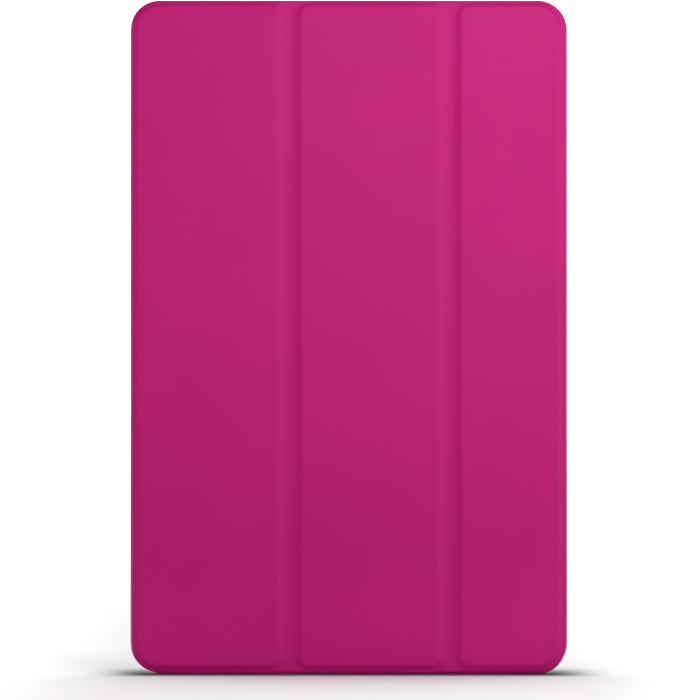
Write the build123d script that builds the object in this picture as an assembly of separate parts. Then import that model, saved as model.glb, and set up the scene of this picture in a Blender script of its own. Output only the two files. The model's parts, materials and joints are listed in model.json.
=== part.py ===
"""A closed three-panel leather case for a tablet of 10.4 to 10.5 inches, standing on its short edge.

X is the width (spine at -X, free edge at +X), Z is the height and Y is the depth (front cover at -Y,
back at +Y). The origin is the middle of the bottom edge. Everything is in millimetres.
"""
from build123d import *
from math import cos, radians, sin
import os

os.makedirs("parts", exist_ok=True)

# ---- the tablet the case is made for, and the room left round it
TABLET_WIDTH = 157.4
TABLET_HEIGHT = 247.6
TABLET_DEPTH = 7.0
ROOM = 0.4                  # side to side and end to end
ROOM_DEEP = 0.2             # front to back

# ---- the outline of the closed case
WIDTH = 165.0
HEIGHT = 254.8
COVER_BOTTOM = 0.8          # only the tray touches the table; the leather stops this far above it
CORNER = 11.2

# ---- thickness of each layer, from the front face to the back face
SKIN = 0.8                  # outer leather
BOARD = 1.0                 # stiff board inside each panel
LINING = 0.5                # soft inner lining
COVER_GAP = 0.4             # air between the lining and the tray
LIP = 0.8                   # rim of the tray that holds the tablet in
TRAY_LINING = 0.3
FLOOR = 1.2                 # back wall of the tray
LAYERS = [SKIN, BOARD, LINING, COVER_GAP, LIP, TABLET_DEPTH + ROOM_DEEP, TRAY_LINING, FLOOR, SKIN]
DEPTH = sum(LAYERS)
COVER = SKIN + BOARD + LINING

FRONT = -DEPTH / 2
BACK = DEPTH / 2
BOARD_FRONT = FRONT + SKIN
LINING_FRONT = BOARD_FRONT + BOARD
LINING_BACK = LINING_FRONT + LINING
TRAY_FRONT = LINING_BACK + COVER_GAP
POCKET_FRONT = TRAY_FRONT + LIP
TRAY_BACK = BACK - SKIN
FLOOR_FRONT = TRAY_BACK - FLOOR
TRAY_LINING_FRONT = FLOOR_FRONT - TRAY_LINING

# ---- the spine and the leather rolls along its two long edges
LEFT = -WIDTH / 2
RIGHT = WIDTH / 2
ROLL = 3.4                  # outer radius of each roll
ROLL_X = LEFT + ROLL
ROLL_Y = DEPTH / 2 - ROLL
ROLL_SPLIT = 0.5            # half of the slit left where a roll bends
SPINE_GAP = 0.3             # air between the spine lining and the tray
SPINE_BOARD_INSET = 1.0     # the spine board stops short of the spine's ends
SPINE_BOTTOM = COVER_BOTTOM + CORNER
SPINE_TOP = HEIGHT - CORNER

# ---- the three panels: where each raised face starts and stops along X
MARGIN_TOP = 2.7            # from the top edge down to the raised faces
MARGIN_BOTTOM = 4.2         # from the bottom of the leather up to the raised faces
SLOPE = 0.8                 # how far the leather runs past the board before it drops
BEVEL = 0.6                 # softened upper edge of each raised face
PANELS = {
    "left_panel": (LEFT + 3.5, -27.5),
    "middle_panel": (-17.1, 33.2),
    "right_panel": (43.4, RIGHT - 4.0),
}
FOLD_1 = (PANELS["left_panel"][1] + PANELS["middle_panel"][0]) / 2
FOLD_2 = (PANELS["middle_panel"][1] + PANELS["right_panel"][0]) / 2
FOLD_SPLIT = 1.2            # half of the slit left where a fold bends
OUTER_ROUND = CORNER - 3.5  # raised faces at the outer corners
FOLD_ROUND = 4.0            # raised faces beside a fold
MIDDLE_ROUND = 2.3

# ---- the tray
TRAY_LEFT = LEFT + COVER + SPINE_GAP
TRAY_RIGHT = RIGHT - 0.5
TRAY_CORNER = CORNER - 0.5
TRAY_EDGE = 2.6             # rounding of the rear outer edge
TRAY_BRIM = 0.3             # rounding of the front edge
LEFT_WALL = 1.5
POCKET_LEFT = TRAY_LEFT + LEFT_WALL
POCKET_RIGHT = POCKET_LEFT + TABLET_WIDTH + 2 * ROOM
POCKET_HEIGHT = TABLET_HEIGHT + 2 * ROOM
POCKET_BOTTOM = (HEIGHT - POCKET_HEIGHT) / 2
POCKET_TOP = POCKET_BOTTOM + POCKET_HEIGHT
POCKET_CORNER = 9.0
LIP_REACH = 0.8             # how far the lip reaches over the tablet
LINING_INSET = 0.2          # air round the tray lining
SIDE_HOLE_Y = (POCKET_FRONT + TRAY_LINING_FRONT) / 2

# ---- holes through the tray
CAMERA_X = 63.0
CAMERA_Z = 230.0
CAMERA_WIDE = 16.0
CAMERA_TALL = 26.0
CAMERA_ROUND = 6.0
SKIN_SHOW = 1.2             # the leather stops this far short of the camera hole
PORT = (14.0, 5.4)          # width and depth of the charging slot
SPEAKER = (22.0, 3.0)
SPEAKER_X = 46.0
BUTTON = (16.0, 4.6)        # power button, top wall
BUTTON_X = 56.0
VOLUME = (30.0, 4.6)        # volume buttons, right wall
VOLUME_Z = 196.0
JACK = 5.0

PAST = 1.0                  # every cut runs this far past the wall it goes through

# ---- magnets
MAGNET = (3.0, 12.0)        # width and height
MAGNET_IN_TRAY = 1.0        # thickness of the two in the side wall
MAGNET_HEIGHTS = {"top": 158.0, "bottom": 62.0}
MAGNET_INSET = 2.2          # from the end of the board
SLEEP_MAGNET = (6.0, 9.0)
SLEEP_AT = (62.0, 150.0)


def card(left, right, bottom, top, round_left, round_right):
    """A flat rectangle with its own corner radius on each side."""
    flat = Pos((left + right) / 2, (bottom + top) / 2) * Rectangle(right - left, top - bottom)
    flat = fillet(flat.vertices().sort_by(Axis.X)[:2], round_left)
    return fillet(flat.vertices().sort_by(Axis.X)[-2:], round_right)


def slab(flat, front, back):
    """An outline drawn on width and height, made solid from one depth to another."""
    return extrude(Plane.XZ.offset(-back) * flat, back - front)


def pillar(section, bottom=0.0, top=HEIGHT):
    """A section drawn on width and depth, made solid from one height to another."""
    return extrude(Plane.XY.offset(bottom) * section, top - bottom)


def box(x, y, z):
    """A plain block from (low, high) pairs along X, Y and Z."""
    block = Box(x[1] - x[0], y[1] - y[0], z[1] - z[0])
    return Pos(sum(x) / 2, sum(y) / 2, sum(z) / 2) * block


def closed_outline():
    """Everything inside the rounded outline of the leather seen from the front."""
    return slab(card(LEFT, RIGHT, COVER_BOTTOM, HEIGHT, CORNER, CORNER), FRONT - PAST, BACK + PAST)


def half_roll(side, outer, inner, start, stop):
    """Part of the quarter turn of sheet beside the spine, at the front (side -1) or the back (+1)."""
    centre = Pos(ROLL_X, side * ROLL_Y)
    ring = centre * (Circle(outer) - Circle(inner))
    reach = 2 * ROLL
    rays = [(reach * cos(radians(a)), side * reach * sin(radians(a))) for a in (start, stop)]
    wedge = centre * make_face(Polyline((0, 0), rays[0], rays[1], (0, 0)))
    slit = centre * Rot(0, 0, side * 135) * Rectangle(4 * ROLL, 2 * ROLL_SPLIT)
    return pillar((ring & wedge) - slit) & closed_outline()


def panel_span(name):
    """Where the flat sheet of a panel starts and stops along X, its half of each fold included."""
    starts = {"left_panel": ROLL_X, "middle_panel": FOLD_1 + FOLD_SPLIT, "right_panel": FOLD_2 + FOLD_SPLIT}
    stops = {"left_panel": FOLD_1 - FOLD_SPLIT, "middle_panel": FOLD_2 - FOLD_SPLIT, "right_panel": RIGHT}
    return starts[name], stops[name]


def panel_rounds(name):
    """Corner radii of the raised face, on its left and on its right."""
    if name == "left_panel":
        return OUTER_ROUND, FOLD_ROUND
    if name == "right_panel":
        return FOLD_ROUND, OUTER_ROUND
    return MIDDLE_ROUND, MIDDLE_ROUND


def raised(name, grow, front, back):
    """The raised face of a panel, grown evenly by a few tenths where the leather covers the board."""
    left, right = PANELS[name]
    round_left, round_right = panel_rounds(name)
    low = COVER_BOTTOM + MARGIN_BOTTOM - grow
    high = HEIGHT - MARGIN_TOP + grow
    flat = card(left - grow, right + grow, low, high, round_left + grow, round_right + grow)
    return slab(flat, front, back)


def lining(name):
    """The soft inner layer of a panel. Beside the spine it turns up round the board and into the roll."""
    left, right = panel_span(name)
    sheet = box((left, right), (LINING_FRONT, LINING_BACK), (0, HEIGHT)) & closed_outline()
    if name == "left_panel":
        riser = box((left, left + LINING), (BOARD_FRONT, LINING_FRONT), (0, HEIGHT)) & closed_outline()
        sheet = sheet + riser + half_roll(-1, ROLL - SKIN, ROLL - SKIN - LINING, 90, 135)
    return sheet


def board(name, linings):
    """The stiff board of a panel, with pockets for the magnets in the right one."""
    plate = raised(name, 0, BOARD_FRONT, LINING_FRONT) - linings
    if name == "right_panel":
        for magnet in closing_magnets().values():
            plate = plate - magnet
        plate = plate - sleep_magnet()
    return plate


def skin(name, boards, linings):
    """The outer leather of a panel: a low rim, a raised face over the board, half of each fold."""
    left, right = panel_span(name)
    rim = box((left, right), (LINING_FRONT - SKIN, LINING_FRONT), (0, HEIGHT)) & closed_outline()
    face = raised(name, SLOPE, FRONT, LINING_FRONT)
    face = chamfer(face.faces().sort_by(Axis.Y)[0].edges(), BEVEL)
    if name == "left_panel":
        face = face & box((ROLL_X, RIGHT), (FRONT, LINING_FRONT), (0, HEIGHT))
    leather = rim + face
    if name == "left_panel":
        leather = leather + half_roll(-1, ROLL, ROLL - SKIN, 90, 135)
    return leather - boards - linings


def closing_magnets():
    """Two slim magnets near the free edge of the cover."""
    right = PANELS["right_panel"][1] - MAGNET_INSET
    magnets = {}
    for place, height in MAGNET_HEIGHTS.items():
        tall = (height - MAGNET[1] / 2, height + MAGNET[1] / 2)
        magnets[place] = box((right - MAGNET[0], right), (BOARD_FRONT, LINING_FRONT), tall)
    return magnets


def sleep_magnet():
    """The magnet that tells the tablet that its cover is shut."""
    wide = (SLEEP_AT[0] - SLEEP_MAGNET[0] / 2, SLEEP_AT[0] + SLEEP_MAGNET[0] / 2)
    tall = (SLEEP_AT[1] - SLEEP_MAGNET[1] / 2, SLEEP_AT[1] + SLEEP_MAGNET[1] / 2)
    return box(wide, (BOARD_FRONT, LINING_FRONT), tall)


def tray_magnets():
    """Two magnets closed inside the right wall of the tray, level with those of the cover."""
    middle = (POCKET_RIGHT + TRAY_RIGHT) / 2
    wide = (middle - MAGNET_IN_TRAY / 2, middle + MAGNET_IN_TRAY / 2)
    magnets = {}
    for place, height in MAGNET_HEIGHTS.items():
        tall = (height - MAGNET[1] / 2, height + MAGNET[1] / 2)
        magnets[place] = box(wide, (POCKET_FRONT, POCKET_FRONT + MAGNET[0]), tall)
    return magnets


def spine_pieces():
    """Skin, board and lining of the spine, with its halves of the two rolls."""
    ends = (-ROLL_Y, ROLL_Y)
    inner = LEFT + COVER
    inner_skin = inner - LINING
    board_ends = (ends[0] + LINING, ends[1] - LINING)
    board_tall = (SPINE_BOTTOM + SPINE_BOARD_INSET, SPINE_TOP - SPINE_BOARD_INSET)
    plate = box((LEFT + SKIN, inner_skin), board_ends, board_tall)
    soft = box((LEFT + SKIN, inner), ends, (SPINE_BOTTOM, SPINE_TOP))
    soft = soft - box((LEFT, inner_skin), board_ends, (0, HEIGHT))
    leather = box((LEFT, inner_skin), ends, (SPINE_BOTTOM, SPINE_TOP))
    for side in (-1, 1):
        soft = soft + half_roll(side, ROLL - SKIN, ROLL - SKIN - LINING, 135, 180)
        leather = leather + half_roll(side, ROLL, ROLL - SKIN, 135, 180)
    return leather - plate - soft, plate, soft


def camera_hole(front, back, grow):
    """The rounded hole for the camera, grown where the leather stops short of it."""
    hole = RectangleRounded(CAMERA_WIDE + 2 * grow, CAMERA_TALL + 2 * grow, CAMERA_ROUND + grow)
    return slab(Pos(CAMERA_X, CAMERA_Z) * hole, front, back)


def back_skin():
    """The leather bonded to the back of the tray, with its half of the rear roll."""
    sheet = box((ROLL_X, RIGHT), (TRAY_BACK, BACK), (0, HEIGHT)) & closed_outline()
    sheet = sheet + half_roll(1, ROLL, ROLL - SKIN, 90, 135)
    return sheet - camera_hole(FRONT, BACK + PAST, SKIN_SHOW)


def wall_slot(size, middle, low, high):
    """A slot with round ends through the bottom or the top wall."""
    slot = Plane.XY.offset(low) * Pos(middle, SIDE_HOLE_Y) * SlotOverall(size[0], size[1])
    return extrude(slot, high - low)


def tray():
    """The moulded tray: floor, four walls and a lip, with the openings a tablet needs."""
    body = slab(card(TRAY_LEFT, TRAY_RIGHT, 0, HEIGHT, TRAY_CORNER, TRAY_CORNER), TRAY_FRONT, TRAY_BACK)
    body = fillet(body.faces().sort_by(Axis.Y)[-1].edges(), TRAY_EDGE)
    body = fillet(body.faces().sort_by(Axis.Y)[0].edges(), TRAY_BRIM)
    pocket = card(POCKET_LEFT, POCKET_RIGHT, POCKET_BOTTOM, POCKET_TOP, POCKET_CORNER, POCKET_CORNER)
    body = body - slab(pocket, POCKET_FRONT, FLOOR_FRONT)
    mouth_round = POCKET_CORNER - LIP_REACH
    mouth = card(POCKET_LEFT + LIP_REACH, POCKET_RIGHT - LIP_REACH, POCKET_BOTTOM + LIP_REACH,
                 POCKET_TOP - LIP_REACH, mouth_round, mouth_round)
    body = body - slab(mouth, TRAY_FRONT - PAST, POCKET_FRONT)
    body = body - camera_hole(FLOOR_FRONT - PAST, BACK + PAST, 0)
    body = body - wall_slot(PORT, 0, -PAST, POCKET_BOTTOM + PAST)
    for side in (-1, 1):
        body = body - wall_slot(SPEAKER, side * SPEAKER_X, -PAST, POCKET_BOTTOM + PAST)
    body = body - wall_slot(BUTTON, BUTTON_X, POCKET_TOP - PAST, HEIGHT + PAST)
    jack = Plane.XY.offset(POCKET_TOP - PAST) * Pos(-BUTTON_X, SIDE_HOLE_Y) * Circle(JACK / 2)
    body = body - extrude(jack, HEIGHT - POCKET_TOP + 2 * PAST)
    side_slot = Pos(SIDE_HOLE_Y, VOLUME_Z) * SlotOverall(*VOLUME, rotation=90)
    body = body - extrude(Plane.YZ.offset(POCKET_RIGHT - PAST) * side_slot, RIGHT - POCKET_RIGHT + 2 * PAST)
    for magnet in tray_magnets().values():
        body = body - magnet
    return body


def tray_lining():
    """The soft sheet on the floor of the tray."""
    corner = POCKET_CORNER - LINING_INSET
    flat = card(POCKET_LEFT + LINING_INSET, POCKET_RIGHT - LINING_INSET, POCKET_BOTTOM + LINING_INSET,
                POCKET_TOP - LINING_INSET, corner, corner)
    return slab(flat, TRAY_LINING_FRONT, FLOOR_FRONT) - camera_hole(FRONT, BACK, SKIN_SHOW)


def save(name, shape):
    """Write one piece, named as a person would name it."""
    shape.label = name
    export_step(shape, "parts/" + name + ".step")


save("tablet_tray", tray())
save("tray_lining", tray_lining())
save("back_skin", back_skin())
for place, magnet in tray_magnets().items():
    save("tray_magnet_" + place, magnet)

spine_skin, spine_board, spine_lining = spine_pieces()
save("spine_skin", spine_skin)
save("spine_board", spine_board)
save("spine_lining", spine_lining)

for panel in PANELS:
    soft_layer = lining(panel)
    stiff_layer = board(panel, soft_layer)
    whole_board = raised(panel, 0, BOARD_FRONT, LINING_FRONT)
    save(panel + "_lining", soft_layer)
    save(panel + "_board", stiff_layer)
    save(panel + "_skin", skin(panel, whole_board, soft_layer))

for place, magnet in closing_magnets().items():
    save("closing_magnet_" + place, magnet)
save("sleep_magnet", sleep_magnet())
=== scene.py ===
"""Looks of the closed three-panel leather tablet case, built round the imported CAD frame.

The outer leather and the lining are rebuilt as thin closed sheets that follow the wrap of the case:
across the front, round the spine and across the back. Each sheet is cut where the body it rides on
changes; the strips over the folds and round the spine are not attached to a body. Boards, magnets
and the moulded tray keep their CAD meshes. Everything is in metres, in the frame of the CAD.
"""
import json
import math
import bmesh
import bpy
import numpy as np
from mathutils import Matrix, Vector


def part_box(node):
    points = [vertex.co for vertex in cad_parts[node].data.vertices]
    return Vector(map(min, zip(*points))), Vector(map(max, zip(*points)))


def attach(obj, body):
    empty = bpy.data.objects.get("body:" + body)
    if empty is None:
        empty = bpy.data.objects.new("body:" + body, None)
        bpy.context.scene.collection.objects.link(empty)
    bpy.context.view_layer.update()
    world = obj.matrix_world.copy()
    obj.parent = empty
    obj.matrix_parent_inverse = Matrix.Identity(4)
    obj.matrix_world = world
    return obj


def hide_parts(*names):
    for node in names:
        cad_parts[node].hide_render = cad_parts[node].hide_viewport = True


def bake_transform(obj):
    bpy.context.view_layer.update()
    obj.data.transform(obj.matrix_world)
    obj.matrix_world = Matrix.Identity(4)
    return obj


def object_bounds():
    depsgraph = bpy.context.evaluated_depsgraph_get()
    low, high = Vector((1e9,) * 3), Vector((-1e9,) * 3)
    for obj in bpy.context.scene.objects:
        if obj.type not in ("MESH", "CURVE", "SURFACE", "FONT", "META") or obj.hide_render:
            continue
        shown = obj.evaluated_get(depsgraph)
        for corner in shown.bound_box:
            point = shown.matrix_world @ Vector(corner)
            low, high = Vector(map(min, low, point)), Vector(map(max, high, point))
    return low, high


MM = 0.001
QUARTER = math.pi / 2
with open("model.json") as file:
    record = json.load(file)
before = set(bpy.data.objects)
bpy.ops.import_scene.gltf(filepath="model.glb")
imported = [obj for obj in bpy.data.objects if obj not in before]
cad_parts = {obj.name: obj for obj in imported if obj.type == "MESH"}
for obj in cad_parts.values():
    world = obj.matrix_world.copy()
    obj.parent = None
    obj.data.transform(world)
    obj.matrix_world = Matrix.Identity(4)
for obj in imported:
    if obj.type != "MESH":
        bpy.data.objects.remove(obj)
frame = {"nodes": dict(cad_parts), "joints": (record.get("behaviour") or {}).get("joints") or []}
cad_low, cad_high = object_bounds()

# ---- sizes read from the frame
LEFT, RIGHT = cad_low.x, cad_high.x
FRONT, BACK = cad_low.y, cad_high.y
TOP = cad_high.z
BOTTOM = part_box("back_skin")[0].z
BOARDS = {name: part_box(name + "_board") for name in ("left_panel", "middle_panel", "right_panel")}
MIDDLE_LOW, MIDDLE_HIGH = BOARDS["middle_panel"]
LINING_LOW, LINING_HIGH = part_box("middle_panel_lining")
BED_LOW, BED_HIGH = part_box("tray_lining")
SKIN = MIDDLE_LOW.y - FRONT
BOARD = MIDDLE_HIGH.y - MIDDLE_LOW.y
LINING = LINING_HIGH.y - LINING_LOW.y
JOINTS = {joint["name"]: joint for joint in frame["joints"]}
FOLD_1 = JOINTS["first_fold"]["pos_m"][0]
FOLD_2 = JOINTS["second_fold"]["pos_m"][0]

# ---- sizes that the frame doesn't hold
CORNER = 11.2 * MM          # corner radius of the outline seen from the front
ROLL = 3.4 * MM             # leather rolled round each long edge of the spine
ROLL_X = LEFT + ROLL
ROLL_Y = BACK - ROLL
ROLL_STRIP = 3 * MM         # how far a corner sheet runs on past its roll
OUTER_ROUND = 7.7 * MM      # corner radius of the raised faces at the outside of the case,
FOLD_ROUND = 3.0 * MM       # beside a fold,
MIDDLE_ROUND = 2.3 * MM     # and on the middle panel
FOLD_HALF = (MIDDLE_LOW.x - BOARDS["left_panel"][1].x) / 2
SIDE_SLOPE = 2.5 * MM       # width of the slope from a raised face down to the free edge,
TOP_SLOPE = 1.9 * MM        # to the top,
BOTTOM_SLOPE = 2.8 * MM     # to the bottom,
GENTLE_SLOPE = 4.0 * MM     # and to the bottom on the right panel, which goes down more gently
FADE_START = 0.05           # by the spine a slope sets in at this share of the quarter turn round a corner,
FADE_OVER = 0.5             # and has its whole depth this much of the quarter turn later
OVER_BOTTOM = 1.2 * MM      # the leather holds its height this far past the lower end of a board
OVER_SIDE = 0.4 * MM        # and this far past a board's left side beside a fold
SEAM = 0.6 * MM             # a sheet that crosses a fold runs this far onto each raised face
FOLD_TURN = 2 * MM          # and bends within this distance of the fold's axis
LINING_CLOSE = 5            # the higher, the sooner the lining lies against the leather in the roll
RIM_WIDE = 1.1 * MM         # turned-down rim of the leather
RIM_DEEP = 0.42 * MM
LINING_RIM = 0.2 * MM
HAIR = 0.02 * MM            # keeps stacked sheets from sharing a surface
BED_ROUND = 8.8 * MM        # corner radius of the sheet in the tray
CUT_MARGIN = 2 * MM         # how far the camera hole's cutter stands out of the leather
# the camera hole: middle across, middle up, width, height, corner radius
CAMERA_HOLE = (63 * MM, 230 * MM, 18.4 * MM, 28.4 * MM, 7.2 * MM)

# ---- how the points of the sheets are spaced
FINE = 0.4 * MM
COARSE_ACROSS = 2.6 * MM
COARSE_UP = 3.6 * MM
EDGE_STEPS = [step * MM for step in (0, 0.08, 0.2, 0.36, 0.56, 0.8, 1.1)]
NEAR = 9 * MM               # the points lie close together within this distance of a place with detail
LONGEST_REST = 1.5          # a run of points stops when less than this many fine steps are left,
SHORTEST_REST = 0.6         # and its last step isn't shorter than this many of them
EDGE_SLOPE = 5 * MM         # about the middle of the rim and the slope, from the cut edge
ROLL_END = 7 * MM           # where the roll of the spine runs out into the flat face, from the spine
HOLE_INSIDE = 4 * MM        # the places with detail at the camera hole, from its sides
ROLL_STEPS = 14             # spans round each roll of the spine,
SPINE_STEPS = 6             # along half of its flat part,
CORNER_STEPS = 10           # round each corner of a flat sheet or a hole,
FLARE_STEPS = 5             # and down the soft edge of the camera hole
SHARP = math.radians(50)    # an edge that turns more than this is shaded as a sharp one

# ---- looks: the darker and the lighter colour of each material
LEATHER_COLOURS = (0.327, 0.0034, 0.101), (0.341, 0.0042, 0.107)
CLOTH_COLOURS = (0.20, 0.012, 0.068), (0.27, 0.021, 0.094)
PLASTIC_COLOURS = (0.290, 0.005, 0.091), (0.305, 0.006, 0.096)
BOARD_COLOURS = (0.12, 0.10, 0.085), (0.21, 0.185, 0.155)
METAL_COLOURS = (0.50, 0.49, 0.46), (0.60, 0.59, 0.56)
LEATHER_HIGHLIGHT = (0.7, 0.5, 1.0, 1)
WHITE = (1, 1, 1, 1)
NOISE_LOW, NOISE_HIGH = 0.3, 0.7    # nearly all values of a noise lie between these

# ---- camera, light and floor
EYE_ACROSS = 0.5 * MM       # the camera stands this far to the right of the middle,
EYE_BEFORE = 3.0            # this far in front of the case, in metres,
EYE_ABOVE = 121.9 * MM      # and this high above the lower edge of the leather
VIEW_WIDE = 264.5 * MM      # width of the picture at the front face
WALL_DIM, WALL_BRIGHT = 0.60, 1.70      # light from all round: from the front, and from behind the case
WALL_FULL = 0.7             # it is fully bright from here on: 0 is beside the case, and 1 straight behind it
# name, place, target, width, height, power, spread in degrees, whether it shows in gloss
LIGHTS = (
    ("front_light", (0.17, -0.85, 0.42), (0.08, 0, 0.26), 0.15, 0.15, 0.44, 60, True),
    ("side_light", (0.85, -0.75, 0.22), (0.08, 0, 0.22), 0.25, 0.25, 0.43, 50, True),
    ("low_light", (0, -0.9, 0.03), (0, 0, 0), 0.30, 0.01, 0.012, 6, False),
)
FLOOR_REACH = 12            # metres from the middle to each side
# a shadow painted into the floor's colour fades out between these distances from the middle of the case
SHADOW_BESIDE = (77.5 * MM, 227.5 * MM)
SHADOW_BEFORE = (-6 * MM, -156 * MM)
SHADOW_BEHIND = (10 * MM, 410 * MM)
# the painted shadow's colours along that way, a little green against the pink light from the leather
PAINTED_SHADOW = (
    (0.0, (0.040, 0.045, 0.043)),
    (0.03, (0.14, 0.158, 0.152)),
    (0.09, (0.56, 0.625, 0.60)),
    (0.15, (0.80, 0.86, 0.845)),
    (0.40, (0.895, 0.92, 0.915)),
    (1.0, (0.92, 0.92, 0.92)),
)
# a painted glow: the floor gives off light of its own, which grows between these distances, in metres
GLOW_BEHIND = (0, 2.0)
GLOW_BESIDE = (0.080, 0.161)
GLOW_BEFORE = (-0.25, -0.9)
# the strength of the painted glow along that way
PAINTED_GLOW = (
    (0.08, (0, 0, 0)),
    (0.25, (0.05, 0.05, 0.05)),
    (0.5, (0.13, 0.13, 0.13)),
    (1.0, (0.25, 0.25, 0.25)),
)
# between these distances behind the case the painted glow grows to this many times its value,
# so that the floor is as bright as the wall where the two meet
FAR_AWAY = (2.0, 11.0)
FAR_BOOST = 2.8


# ---- the wrap of the case: stations along its section seen from above
def walk(start, stop, places, coarse):
    """Values from start to stop, close together near the given places."""
    values = [start]
    way = 1 if stop > start else -1
    x = start
    while (stop - x) * way > FINE * LONGEST_REST:
        close = any(abs(x - place) < NEAR for place in places)
        x += way * (FINE if close else coarse)
        values.append(x)
    if (stop - values[-1]) * way < FINE * SHORTEST_REST:
        values.pop()
    return values + [stop]


def station(x, y, normal_x, normal_y):
    """A point of the section, and the way the outside of the case faces there."""
    return (x, y, normal_x, normal_y)


def face_stations(start, stop, side, places=()):
    """Along the front (side -1) or the back (side 1) from x = start to x = stop."""
    y = side * BACK
    found = []
    inner = start
    if start == RIGHT:
        found = [station(RIGHT - step, y, 0, side) for step in EDGE_STEPS]
        inner = start - EDGE_STEPS[-1] - FINE
    near = [RIGHT - EDGE_SLOPE, LEFT + ROLL_END] + list(places)
    if side < 0:
        near = near + [FOLD_1, FOLD_2]
    return found + [station(x, y, 0, side) for x in walk(inner, stop, near, COARSE_ACROSS)]


def roll_stations(side):
    """Round one long edge of the spine, from the flat face towards the spine."""
    found = []
    for turn in np.linspace(0, QUARTER, ROLL_STEPS + 1):
        normal_x, normal_y = -math.sin(turn), side * math.cos(turn)
        found.append(station(ROLL_X + ROLL * normal_x, side * ROLL_Y + ROLL * normal_y, normal_x, normal_y))
    return found


def spine_stations(start, stop, steps=SPINE_STEPS):
    """Along the spine, leaving out its first point."""
    return [station(LEFT, y, -1, 0) for y in np.linspace(start, stop, steps + 1)[1:]]


def rows_between(places=()):
    """Heights of the rows, close together at the rims and slopes and near the places named."""
    inset = EDGE_STEPS + walk(EDGE_STEPS[-1] + FINE, CORNER + MM, [EDGE_SLOPE], COARSE_UP)
    lower = [BOTTOM + step for step in inset]
    upper = [TOP - step for step in reversed(inset)]
    middle = walk(lower[-1], upper[0], places, COARSE_UP)[1:-1]
    return np.array(lower + middle + upper)


ROWS = rows_between()


# ---- the outline, and the raised faces within it
def outline_end(x):
    """How far above the bottom (or below the top) the outline lies at x."""
    inward = np.maximum(np.abs(x) - (RIGHT - CORNER), 0)
    return CORNER - np.sqrt(np.maximum(CORNER ** 2 - inward ** 2, 0))


def within_outline(x, rows):
    """Heights of the rows at x, drawn in so that the first and the last of them lie on the outline."""
    middle, half = (TOP + BOTTOM) / 2, (TOP - BOTTOM) / 2
    return middle + (rows - middle) * (half - outline_end(x)) / half


def edge_distance(x, z):
    """Distance to the cut edge. On the left there is none, because the sheet goes on round the spine."""
    z = np.minimum(z - BOTTOM, TOP - z)
    inward = np.abs(x) - (RIGHT - CORNER)
    straight = np.where(x > 0, np.minimum(z, RIGHT - x), z)
    arc = CORNER - np.hypot(inward, CORNER - z)
    above_arc = np.where(x > 0, RIGHT - x, np.hypot(CORNER - inward, z - CORNER))
    beside = np.where(z < CORNER, arc, above_arc)
    return np.maximum(np.where(inward > 0, beside, straight), 0)


def eased(t):
    """Smooth step from 0 to 1."""
    t = np.clip(t, 0, 1)
    return t * t * (3 - 2 * t)


def soft_slope(t):
    """0 on a raised face to 1 on the rim, steepest a third of the way."""
    t = np.clip(t, 0, 1)
    return 6 * t ** 2 - 8 * t ** 3 + 3 * t ** 4


def early_slope(t):
    """As soft_slope, but steepest right beside the raised face."""
    t = np.clip(t, 0, 1)
    return 1 - (1 - t) ** 4 * (1 + 4 * t)


def late_slope(t):
    """As soft_slope, but rounded at first and steepest at the rim, so that it ends in a crease."""
    t = np.clip(t, 0, 1)
    return 4 * t ** 3 - 3 * t ** 4


# slope and width of the slope below each raised face
LOWER_SLOPES = {
    "left_panel": (soft_slope, BOTTOM_SLOPE),
    "middle_panel": (soft_slope, BOTTOM_SLOPE),
    "right_panel": (early_slope, GENTLE_SLOPE),
}

# corner radius, slope and width of the slope, on the left and on the right of each raised face
SIDES = {
    "left_panel": ((OUTER_ROUND, late_slope, SIDE_SLOPE), (FOLD_ROUND, soft_slope, FOLD_HALF)),
    "middle_panel": ((MIDDLE_ROUND, early_slope, FOLD_HALF), (MIDDLE_ROUND, soft_slope, FOLD_HALF)),
    "right_panel": ((FOLD_ROUND, early_slope, FOLD_HALF), (OUTER_ROUND, late_slope, SIDE_SLOPE)),
}


def face_drop(name, x, z):
    """How far the leather has dropped from one panel's raised face, from 0 on the face to 1."""
    low, high = BOARDS[name]
    left = ROLL_X if name == "left_panel" else low.x - OVER_SIDE
    bottom = low.z - OVER_BOTTOM
    middle_x, middle_z = (left + high.x) / 2, (bottom + high.z) / 2
    on_left, on_top = x < middle_x, z > middle_z
    lower_slope, lower_width = LOWER_SLOPES[name]
    drops = []
    for rounding, side_slope, width in SIDES[name]:
        over_x = np.abs(x - middle_x) - ((high.x - left) / 2 - rounding)
        over_z = np.abs(z - middle_z) - ((high.z - bottom) / 2 - rounding)
        reach = np.hypot(np.maximum(over_x, 0), np.maximum(over_z, 0))
        in_corner = (over_x > 0) & (over_z > 0)
        away = np.where(in_corner, reach, np.maximum(over_x, over_z)) - rounding
        upward = np.where(in_corner, over_z / np.maximum(reach, HAIR), over_z > over_x)
        end = np.where(on_top, late_slope(away / TOP_SLOPE), lower_slope(away / lower_width))
        drop = side_slope(away / width) * (1 - upward ** 2) + end * upward ** 2
        if name == "left_panel" and not drops:
            turned = np.arcsin(np.clip(upward, 0, 1)) / QUARTER
            drop = drop * eased((turned - FADE_START) / FADE_OVER)
        drops.append(drop)
    return np.where(on_left, drops[0], drops[1])


def front_drop(x, z):
    """Depth of the leather's outer face below the level of the raised faces."""
    return BOARD * np.minimum.reduce([face_drop(name, x, z) for name in BOARDS])


def turned_down(distance, wide, deep):
    """How far a face turns down close to its cut edge."""
    share = np.clip(1 - distance / wide, 0, 1)
    return deep * (1 - np.sqrt(1 - share ** 2))


# ---- thin closed sheets over the wrap
def joined(*runs):
    """Runs of stations as one path, without the points that two runs share."""
    path = []
    for point in [point for run in runs for point in run]:
        if not path or math.dist(point[:2], path[-1][:2]) > HAIR:
            path.append(point)
    return path


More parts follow.
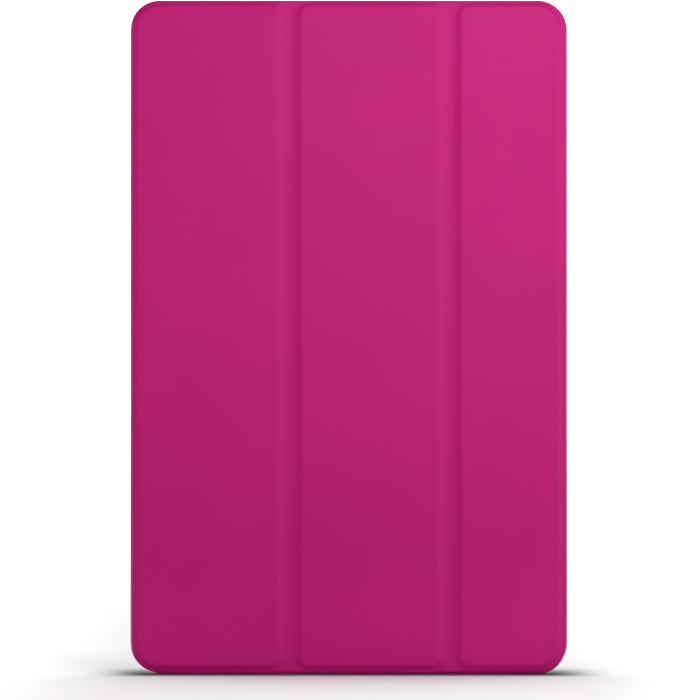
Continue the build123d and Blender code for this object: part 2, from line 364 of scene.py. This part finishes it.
def wrapped_sheet(name, path, rows, depths):
    """A closed sheet; depths says how deep its outer and inner faces lie at each place."""
    x, y, normal_x, normal_y = (column[:, None] for column in np.array(path).T)
    z = within_outline(x, rows[None, :])
    faces = []
    for depth in depths(np.broadcast_to(x, z.shape), z, normal_x, normal_y):
        face_x = x - normal_x * depth
        face_z = within_outline(face_x, rows[None, :])
        faces.append(np.stack([face_x, y - normal_y * depth, face_z], axis=2).reshape(-1, 3))
    return closed_mesh(name, faces, len(path), len(rows))


def closed_mesh(name, faces, columns, rows):
    """Joins two grids of points into one closed thin solid."""
    count = columns * rows
    polygons = []
    for a in [i * rows + j for i in range(columns - 1) for j in range(rows - 1)]:
        b = a + rows
        polygons.append((a, a + 1, b + 1, b))
        polygons.append((a + count, b + count, b + 1 + count, a + 1 + count))
    last = (columns - 1) * rows
    rim = [(i * rows, (i + 1) * rows) for i in range(columns - 1)]
    rim += [(last + j, last + j + 1) for j in range(rows - 1)]
    rim += [((i + 2) * rows - 1, (i + 1) * rows - 1) for i in range(columns - 1)]
    rim += [(j + 1, j) for j in range(rows - 1)]
    polygons += [(a, b, b + count, a + count) for a, b in rim]
    mesh = bpy.data.meshes.new(name)
    mesh.from_pydata(np.concatenate(faces).tolist(), [], polygons)
    return shown(name, mesh)


def shade(mesh):
    """Smooth shading, except over edges that turn sharply."""
    mesh.shade_smooth()
    mesh.set_sharp_from_angle(angle=SHARP)


def shown(name, mesh):
    """Puts a mesh in the scene."""
    shade(mesh)
    piece = bpy.data.objects.new(name, mesh)
    bpy.context.scene.collection.objects.link(piece)
    return piece


def leather_depths(x, z, normal_x, normal_y):
    """Outer and inner face of the leather."""
    lowered = np.where(normal_y < 0, front_drop(x, z), 0)
    outer = lowered + turned_down(edge_distance(x, z), RIM_WIDE, RIM_DEEP)
    return outer, lowered + SKIN - HAIR


def lining_depths(x, z, normal_x, normal_y):
    """Hidden and shown face of the lining: behind the boards, but up against the leather in the roll."""
    in_roll = eased(LINING_CLOSE * np.abs(normal_x * normal_y))
    hidden = SKIN + BOARD * (1 - in_roll) + HAIR + 0 * z
    return hidden, hidden + LINING - HAIR - turned_down(edge_distance(x, z), LINING_RIM, LINING_RIM)


# ---- flat sheets and cuts with rounded corners
def rounded_loop(place, y, grow):
    """Points round a rectangle with rounded corners, facing along the depth."""
    middle_x, middle_z, wide, tall, corner = place
    points = []
    for quarter, (side_x, side_z) in enumerate(((1, 1), (-1, 1), (-1, -1), (1, -1))):
        for turn in np.linspace(quarter * QUARTER, (quarter + 1) * QUARTER, CORNER_STEPS + 1):
            x = middle_x + side_x * (wide / 2 - corner) + (corner + grow) * math.cos(turn)
            z = middle_z + side_z * (tall / 2 - corner) + (corner + grow) * math.sin(turn)
            points.append((x, y, z))
    return points


def lofted(loops):
    """A closed bmesh through loops of points, with a flat face at each end."""
    body = bmesh.new()
    rings = [[body.verts.new(point) for point in loop] for loop in loops]
    for ring, following in zip(rings, rings[1:]):
        for k in range(len(ring)):
            body.faces.new((ring[k - 1], ring[k], following[k], following[k - 1]))
    body.faces.new(rings[0])
    body.faces.new(rings[-1])
    bmesh.ops.recalc_face_normals(body, faces=body.faces)
    return body


def solid(name, loops):
    """A closed mesh object lofted through loops of points."""
    mesh = bpy.data.meshes.new(name)
    body = lofted(loops)
    body.to_mesh(mesh)
    body.free()
    return shown(name, mesh)


def cut(piece, cutter):
    """Takes one closed mesh out of another and removes the cutter."""
    modifier = piece.modifiers.new("cut", "BOOLEAN")
    modifier.object = cutter
    modifier.solver = "EXACT"
    bpy.context.view_layer.update()
    whole = piece.evaluated_get(bpy.context.evaluated_depsgraph_get())
    mesh = bpy.data.meshes.new_from_object(whole)
    piece.modifiers.clear()
    piece.data = mesh
    shade(mesh)
    bpy.data.objects.remove(cutter)


def camera_cutter():
    """The camera hole, flared at the back so that the leather turns into it with a soft edge."""
    loops = [rounded_loop(CAMERA_HOLE, BACK + CUT_MARGIN, RIM_DEEP)]
    for share in np.linspace(0, 1, FLARE_STEPS + 1):
        grow = RIM_DEEP * (1 - math.sqrt(1 - (1 - share) ** 2))
        loops.append(rounded_loop(CAMERA_HOLE, BACK - share * RIM_DEEP, grow))
    loops.append(rounded_loop(CAMERA_HOLE, BACK - CUT_MARGIN, 0))
    return solid("camera_cutter", loops)


# ---- materials
def new_material(name):
    """An empty material with its Principled shader and the tools to add nodes to it."""
    material = bpy.data.materials.new(name)
    material.use_nodes = True
    tree = material.node_tree
    return material, tree, tree.nodes["Principled BSDF"]


def object_coordinates(tree, scale=(1, 1, 1)):
    """Object coordinates in metres, stretched by scale."""
    coordinates = tree.nodes.new("ShaderNodeTexCoord")
    mapping = tree.nodes.new("ShaderNodeMapping")
    mapping.inputs["Scale"].default_value = scale
    tree.links.new(coordinates.outputs["Object"], mapping.inputs["Vector"])
    return mapping.outputs["Vector"]


def noise(tree, vector, size, detail=3.0, roughness=0.5):
    """Noise whose blots are about size metres across."""
    node = tree.nodes.new("ShaderNodeTexNoise")
    node.inputs["Scale"].default_value = 1 / size
    node.inputs["Detail"].default_value = detail
    node.inputs["Roughness"].default_value = roughness
    tree.links.new(vector, node.inputs["Vector"])
    return node.outputs["Fac"]


def pebbles(tree, vector, size):
    """Rounded cells about size metres across, high in the middle and low where they meet."""
    node = tree.nodes.new("ShaderNodeTexVoronoi")
    node.feature = "SMOOTH_F1"
    node.inputs["Scale"].default_value = 1 / size
    node.inputs["Smoothness"].default_value = 0.6
    tree.links.new(vector, node.inputs["Vector"])
    return node.outputs["Distance"]


def colours_along(tree, factor, stops):
    """A ramp through (place, colour) pairs."""
    ramp = tree.nodes.new("ShaderNodeValToRGB")
    elements = ramp.color_ramp.elements
    elements.remove(elements[1])
    elements[0].position = stops[0][0]
    for place, _ in stops[1:]:
        elements.new(place)
    for element, (_, colour) in zip(elements, stops):
        element.color = (*colour, 1)
    tree.links.new(factor, ramp.inputs["Fac"])
    return ramp.outputs["Color"]


def colours_between(tree, factor, low, high):
    """A ramp from one colour to another, for noise."""
    return colours_along(tree, factor, ((NOISE_LOW, low), (NOISE_HIGH, high)))


def mapped(tree, value, start, stop, low, high, smooth=False):
    """A number that goes from low to high while the value goes from start to stop."""
    node = tree.nodes.new("ShaderNodeMapRange")
    if smooth:
        node.interpolation_type = "SMOOTHSTEP"
    node.inputs["From Min"].default_value = start
    node.inputs["From Max"].default_value = stop
    node.inputs["To Min"].default_value = low
    node.inputs["To Max"].default_value = high
    tree.links.new(value, node.inputs["Value"])
    return node.outputs["Result"]


def varied(tree, factor, low, high):
    """A number between low and high, for noise."""
    return mapped(tree, factor, NOISE_LOW, NOISE_HIGH, low, high)


def parts(tree, vector):
    """The X and Y parts of a vector."""
    split = tree.nodes.new("ShaderNodeSeparateXYZ")
    tree.links.new(vector, split.inputs["Vector"])
    return split.outputs["X"], split.outputs["Y"]


def worked_out(tree, operation, *values):
    """One step of arithmetic."""
    node = tree.nodes.new("ShaderNodeMath")
    node.operation = operation
    for value, place in zip(values, node.inputs):
        tree.links.new(value, place)
    return node.outputs["Value"]


def combined_length(tree, *values):
    """The length of the vector made of three numbers."""
    joint = tree.nodes.new("ShaderNodeCombineXYZ")
    for value, place in zip(values, joint.inputs):
        tree.links.new(value, place)
    length = tree.nodes.new("ShaderNodeVectorMath")
    length.operation = "LENGTH"
    tree.links.new(joint.outputs["Vector"], length.inputs[0])
    return length.outputs["Value"]


def bumped(tree, height, depth, normal=None):
    """A bump of the given depth in metres, on top of an earlier one if there is one."""
    bump = tree.nodes.new("ShaderNodeBump")
    bump.inputs["Distance"].default_value = depth
    tree.links.new(height, bump.inputs["Height"])
    if normal is not None:
        tree.links.new(normal, bump.inputs["Normal"])
    return bump.outputs["Normal"]


def leather():
    """Smooth magenta leather with a very fine pebbled grain."""
    material, tree, shader = new_material("magenta_leather")
    vector = object_coordinates(tree)
    patches = noise(tree, vector, size=45 * MM, detail=2)
    tree.links.new(colours_between(tree, patches, *LEATHER_COLOURS), shader.inputs["Base Color"])
    worn = noise(tree, vector, size=9 * MM)
    tree.links.new(varied(tree, worn, low=0.47, high=0.53), shader.inputs["Roughness"])
    shader.inputs["Specular IOR Level"].default_value = 0.21
    shader.inputs["Specular Tint"].default_value = LEATHER_HIGHLIGHT
    waves = noise(tree, vector, size=22 * MM, detail=1)
    pores = noise(tree, vector, size=0.3 * MM, detail=2)
    normal = bumped(tree, waves, depth=0.06 * MM)
    normal = bumped(tree, pebbles(tree, vector, size=0.85 * MM), depth=0.022 * MM, normal=normal)
    normal = bumped(tree, pores, depth=0.008 * MM, normal=normal)
    tree.links.new(normal, shader.inputs["Normal"])
    return material


def microfibre():
    """Raspberry microfibre with short brushed hairs."""
    material, tree, shader = new_material("raspberry_microfibre")
    vector = object_coordinates(tree)
    upward = object_coordinates(tree, (1, 1, 0.2))
    brushed = noise(tree, upward, size=1.1 * MM, detail=4, roughness=0.7)
    tree.links.new(colours_between(tree, brushed, *CLOTH_COLOURS), shader.inputs["Base Color"])
    shader.inputs["Roughness"].default_value = 0.92
    shader.inputs["Specular IOR Level"].default_value = 0.2
    shader.inputs["Sheen Weight"].default_value = 0.35
    shader.inputs["Sheen Roughness"].default_value = 0.5
    normal = bumped(tree, noise(tree, vector, size=7 * MM), depth=0.05 * MM)
    normal = bumped(tree, brushed, depth=0.05 * MM, normal=normal)
    tree.links.new(normal, shader.inputs["Normal"])
    return material


def moulded_plastic():
    """Matt magenta plastic with the fine spark texture of a mould."""
    material, tree, shader = new_material("matt_magenta_plastic")
    vector = object_coordinates(tree)
    clouds = noise(tree, vector, size=30 * MM, detail=2)
    tree.links.new(colours_between(tree, clouds, *PLASTIC_COLOURS), shader.inputs["Base Color"])
    grain = noise(tree, vector, size=0.35 * MM)
    tree.links.new(varied(tree, grain, low=0.48, high=0.6), shader.inputs["Roughness"])
    shader.inputs["Specular IOR Level"].default_value = 0.45
    tree.links.new(bumped(tree, grain, depth=0.012 * MM), shader.inputs["Normal"])
    return material


def pressed_board():
    """Grey-brown fibre board."""
    material, tree, shader = new_material("pressed_fibre_board")
    upward = object_coordinates(tree, (1, 1, 0.25))
    fibres = noise(tree, upward, size=0.8 * MM, detail=5, roughness=0.65)
    tree.links.new(colours_between(tree, fibres, *BOARD_COLOURS), shader.inputs["Base Color"])
    shader.inputs["Roughness"].default_value = 0.9
    tree.links.new(bumped(tree, fibres, depth=0.04 * MM), shader.inputs["Normal"])
    return material


def plated_metal():
    """Nickel plate on a magnet."""
    material, tree, shader = new_material("nickel_plate")
    upward = object_coordinates(tree, (1, 1, 0.1))
    brushed = noise(tree, upward, size=0.3 * MM, detail=4)
    tree.links.new(colours_between(tree, brushed, *METAL_COLOURS), shader.inputs["Base Color"])
    shader.inputs["Metallic"].default_value = 1.0
    tree.links.new(varied(tree, brushed, low=0.25, high=0.4), shader.inputs["Roughness"])
    tree.links.new(bumped(tree, brushed, depth=0.004 * MM), shader.inputs["Normal"])
    return material


LEATHER = leather()
CLOTH = microfibre()


# ---- the pieces
def dressed(piece, material, nodes):
    """Gives a sheet its material and hides the CAD nodes that it stands for."""
    piece.data.materials.clear()
    piece.data.materials.append(material)
    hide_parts(*nodes)


def across_fold(fold):
    """Where the blend over a fold starts and stops, from the right panel of the two to the left one."""
    return Vector((fold + FOLD_TURN, FRONT, TOP / 2)), Vector((fold - FOLD_TURN, FRONT, TOP / 2))


def hole_sides(middle, size):
    """The places with detail at the camera hole, on each side of its middle."""
    return [middle - size / 2 + HOLE_INSIDE, middle + size / 2 - HOLE_INSIDE]


RIGHT_SEAM = BOARDS["right_panel"][0].x + SEAM
MIDDLE_RIGHT_SEAM = MIDDLE_HIGH.x - SEAM
MIDDLE_LEFT_SEAM = MIDDLE_LOW.x + SEAM
LEFT_SEAM = BOARDS["left_panel"][1].x - SEAM
ROLL_SEAM = ROLL_X + ROLL_STRIP

FRONT_PATHS = {
    "right_panel": face_stations(RIGHT, RIGHT_SEAM, -1),
    "second_fold": face_stations(RIGHT_SEAM, MIDDLE_RIGHT_SEAM, -1),
    "middle_panel": face_stations(MIDDLE_RIGHT_SEAM, MIDDLE_LEFT_SEAM, -1),
    "first_fold": face_stations(MIDDLE_LEFT_SEAM, LEFT_SEAM, -1),
    "left_panel": face_stations(LEFT_SEAM, ROLL_SEAM, -1),
}
CORNER_PATH = joined(face_stations(ROLL_SEAM, ROLL_X, -1), roll_stations(-1))
REAR_ROLL = list(reversed(roll_stations(1)))
BLENDS = {
    "second_fold": ("right_panel", "middle_panel", across_fold(FOLD_2)),
    "first_fold": ("middle_panel", "left_panel", across_fold(FOLD_1)),
}


def cover_sheets(layer, depths, material):
    """The five sheets of one layer across the front cover: three panels and the strips over the folds."""
    for name, path in FRONT_PATHS.items():
        piece = wrapped_sheet(name + "_" + layer[0], path, ROWS, depths)
        if name in BLENDS:
            right, left, (start, end) = BLENDS[name]
            dressed(piece, material, (right + layer[1], left + layer[1]))
            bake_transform(piece)
        else:
            dressed(piece, material, (name + layer[1],))
            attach(piece, name)


def corner_sheets():
    """Leather round both long edges of the spine, and the lining inside the spine."""
    path = joined(CORNER_PATH, spine_stations(-ROLL_Y, 0))
    front = wrapped_sheet("front_corner_leather", path, ROWS, leather_depths)
    dressed(front, LEATHER, ("left_panel_skin", "spine_skin"))
    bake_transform(front)

    path = joined([station(LEFT, 0, -1, 0)], spine_stations(0, ROLL_Y), REAR_ROLL,
                  list(reversed(face_stations(ROLL_SEAM, ROLL_X, 1))))
    rear = wrapped_sheet("rear_corner_leather", path, ROWS, leather_depths)
    dressed(rear, LEATHER, ("spine_skin", "back_skin"))
    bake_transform(rear)

    path = joined(CORNER_PATH, spine_stations(-ROLL_Y, ROLL_Y, 2 * SPINE_STEPS))
    inside = wrapped_sheet("spine_lining_cloth", path, ROWS, lining_depths)
    dressed(inside, CLOTH, ("left_panel_lining", "spine_lining"))
    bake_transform(inside)


def back_sheet():
    """The leather bonded to the back of the tray, with its hole for the camera."""
    across, up, wide, tall, _ = CAMERA_HOLE
    path = list(reversed(face_stations(RIGHT, ROLL_SEAM, 1, places=hole_sides(across, wide))))
    piece = wrapped_sheet("back_leather", path, rows_between(hole_sides(up, tall)), leather_depths)
    cut(piece, camera_cutter())
    dressed(piece, LEATHER, ("back_skin",))
    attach(piece, "back_case")


def tray_bed():
    """The soft sheet on the floor of the tray, where the tablet lies."""
    size = BED_HIGH - BED_LOW
    middle = (BED_LOW + BED_HIGH) / 2
    place = (middle.x, middle.z, size.x, size.z, BED_ROUND)
    edge = size.y / 4
    loops = [rounded_loop(place, BED_LOW.y, -edge), rounded_loop(place, BED_LOW.y + edge, 0)]
    loops += [rounded_loop(place, BED_HIGH.y - edge, 0), rounded_loop(place, BED_HIGH.y, -edge)]
    piece = solid("tray_bed_cloth", loops)
    cutter = [rounded_loop(CAMERA_HOLE, BED_LOW.y - MM, 0), rounded_loop(CAMERA_HOLE, BED_HIGH.y + MM, 0)]
    cut(piece, solid("bed_cutter", cutter))
    piece.data.materials.clear()
    piece.data.materials.append(CLOTH)
    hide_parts("tray_lining")
    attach(piece, "back_case")


def finish_cad_nodes():
    """Procedural materials for the CAD meshes that stay in sight."""
    finishes = {"tablet_tray": moulded_plastic(), "_board": pressed_board(), "magnet": plated_metal()}
    for name, node in frame["nodes"].items():
        for part_of_name, material in finishes.items():
            if part_of_name in name:
                for slot in node.material_slots:
                    slot.material = material


# ---- camera, light and the surface it stands on
def add_camera():
    """A level camera far in front, as for a product picture."""
    data = bpy.data.cameras.new("camera")
    data.sensor_width = 36
    data.lens = data.sensor_width * EYE_BEFORE / VIEW_WIDE
    data.clip_start = 0.1
    data.clip_end = 100
    camera = bpy.data.objects.new("camera", data)
    camera.location = (EYE_ACROSS, FRONT - EYE_BEFORE, BOTTOM + EYE_ABOVE)
    camera.rotation_euler = (QUARTER, 0, 0)
    bpy.context.scene.collection.objects.link(camera)
    bpy.context.scene.camera = camera


def add_area_light(name, place, target, wide, tall, power, spread, glossy):
    """A soft light aimed at a point, with a grid that keeps it within spread degrees."""
    data = bpy.data.lights.new(name, "AREA")
    data.shape = "RECTANGLE"
    data.size = wide
    data.size_y = tall
    data.energy = power
    data.spread = math.radians(spread)
    light = bpy.data.objects.new(name, data)
    light.location = place
    light.visible_glossy = glossy
    light.rotation_euler = (Vector(target) - Vector(place)).to_track_quat("-Z", "Y").to_euler()
    bpy.context.scene.collection.objects.link(light)


def add_floor():
    """White sweep: painted shadow where the case touches it, painted glow growing away from the case."""
    mesh = bpy.data.meshes.new("floor")
    corners = [(x * FLOOR_REACH, y * FLOOR_REACH, 0) for x, y in ((-1, -1), (1, -1), (1, 1), (-1, 1))]
    mesh.from_pydata(corners, [], [(0, 1, 2, 3)])
    material, tree, shader = new_material("white_sweep")
    vector = object_coordinates(tree)
    sideways, depth = parts(tree, vector)
    sideways = worked_out(tree, "ABSOLUTE", sideways)
    # painted shadow: the floor's colour darkens towards the case's footprint, standing in for its contact
    # shadow
    away = combined_length(
        tree,
        mapped(tree, sideways, *SHADOW_BESIDE, 0, 1),
        mapped(tree, depth, *SHADOW_BEFORE, 0, 1),
        mapped(tree, depth, *SHADOW_BEHIND, 0, 1),
    )
    tree.links.new(colours_along(tree, away, PAINTED_SHADOW), shader.inputs["Base Color"])
    # painted glow: the floor gives off light of its own, more and more away from the case and far behind it
    glow = mapped(tree, depth, *GLOW_BEHIND, 0, 1)
    for value, limits in ((sideways, GLOW_BESIDE), (depth, GLOW_BEFORE)):
        glow = worked_out(tree, "MAXIMUM", glow, mapped(tree, value, *limits, 0, 1))
    tree.links.new(colours_along(tree, glow, PAINTED_GLOW), shader.inputs["Emission Color"])
    tree.links.new(mapped(tree, depth, *FAR_AWAY, 1.0, FAR_BOOST), shader.inputs["Emission Strength"])
    clouds = noise(tree, vector, size=0.4, detail=1)
    tree.links.new(varied(tree, clouds, low=0.85, high=0.95), shader.inputs["Roughness"])
    mesh.materials.append(material)
    floor = bpy.data.objects.new("floor", mesh)
    bpy.context.scene.collection.objects.link(floor)


def add_world():
    """Soft light from all round, brighter from behind the object than from the front."""
    world = bpy.data.worlds.new("studio")
    world.use_nodes = True
    tree = world.node_tree
    coordinates = tree.nodes.new("ShaderNodeTexCoord")
    backward = parts(tree, coordinates.outputs["Generated"])[1]
    strength = mapped(tree, backward, 0, WALL_FULL, WALL_DIM, WALL_BRIGHT, smooth=True)
    background = tree.nodes["Background"]
    background.inputs["Color"].default_value = WHITE
    tree.links.new(strength, background.inputs["Strength"])
    bpy.context.scene.world = world


add_camera()
cover_sheets(("leather", "_skin"), leather_depths, LEATHER)
cover_sheets(("cloth", "_lining"), lining_depths, CLOTH)
corner_sheets()
back_sheet()
tray_bed()
finish_cad_nodes()
add_floor()
add_world()
for light in LIGHTS:
    add_area_light(*light)
bpy.context.scene.view_settings.view_transform = "Standard"
